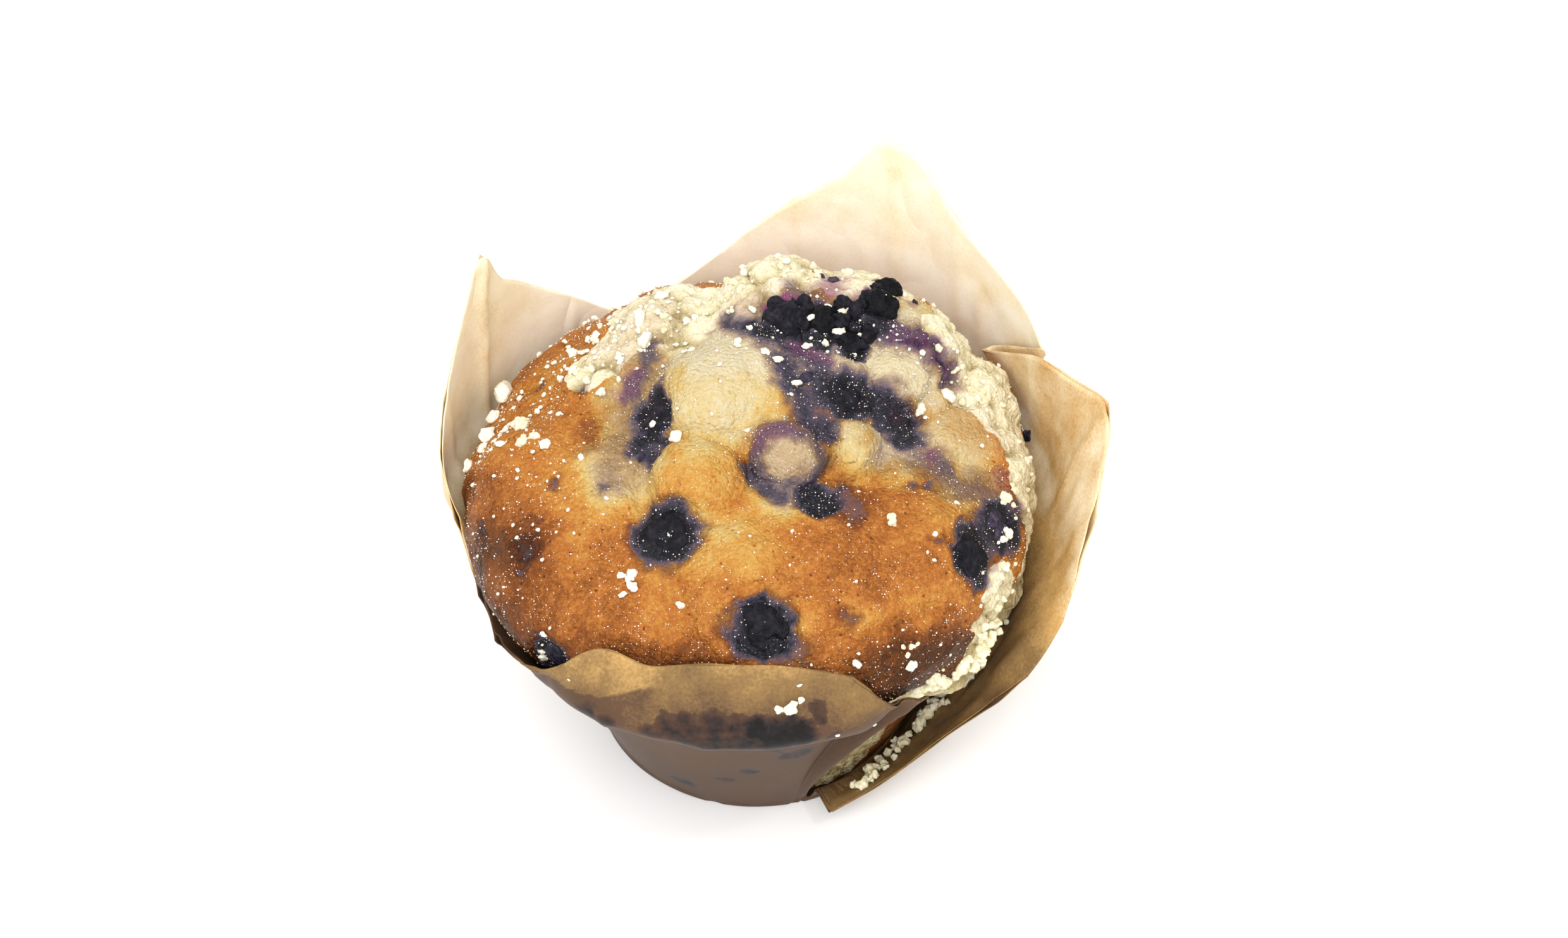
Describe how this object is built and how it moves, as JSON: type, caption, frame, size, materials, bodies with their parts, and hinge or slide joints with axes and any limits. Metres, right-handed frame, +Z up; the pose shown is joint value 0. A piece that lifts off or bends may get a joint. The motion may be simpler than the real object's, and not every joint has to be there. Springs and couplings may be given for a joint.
{
  "type": "blueberry muffin in a tulip baking case",
  "caption": "Round-topped baked muffin with whole berries in its crown, standing in a petalled tulip case of greaseproof baking paper.",
  "frame": {"origin": "middle of the case's flat base, on the surface it stands on", "axes": "+Z up; -Y towards the low front petal; +X towards the side with the split and the torn crumb"},
  "size_m": [0.101, 0.0935, 0.0824],
  "materials": {
    "baking_paper": "matt, greasy and translucent where it touches the muffin",
    "baked_batter": "browned crust, slightly moist, with sugar crystals",
    "berry_skin": "wrinkled, moist"
  },
  "bodies": {
    "root": {"paper_case": "baking_paper", "muffin": "baked_batter", "berry_top_1": "berry_skin", "berry_top_2": "berry_skin", "berry_top_3": "berry_skin", "berry_top_4": "berry_skin", "berry_top_5": "berry_skin", "berry_middle": "berry_skin", "berry_middle_right": "berry_skin", "berry_left": "berry_skin", "berry_front_left": "berry_skin", "berry_front": "berry_skin", "berry_right": "berry_skin", "berry_right_edge": "berry_skin", "berry_crease": "berry_skin", "berry_left_foot": "berry_skin"}
  },
  "joints": []
}
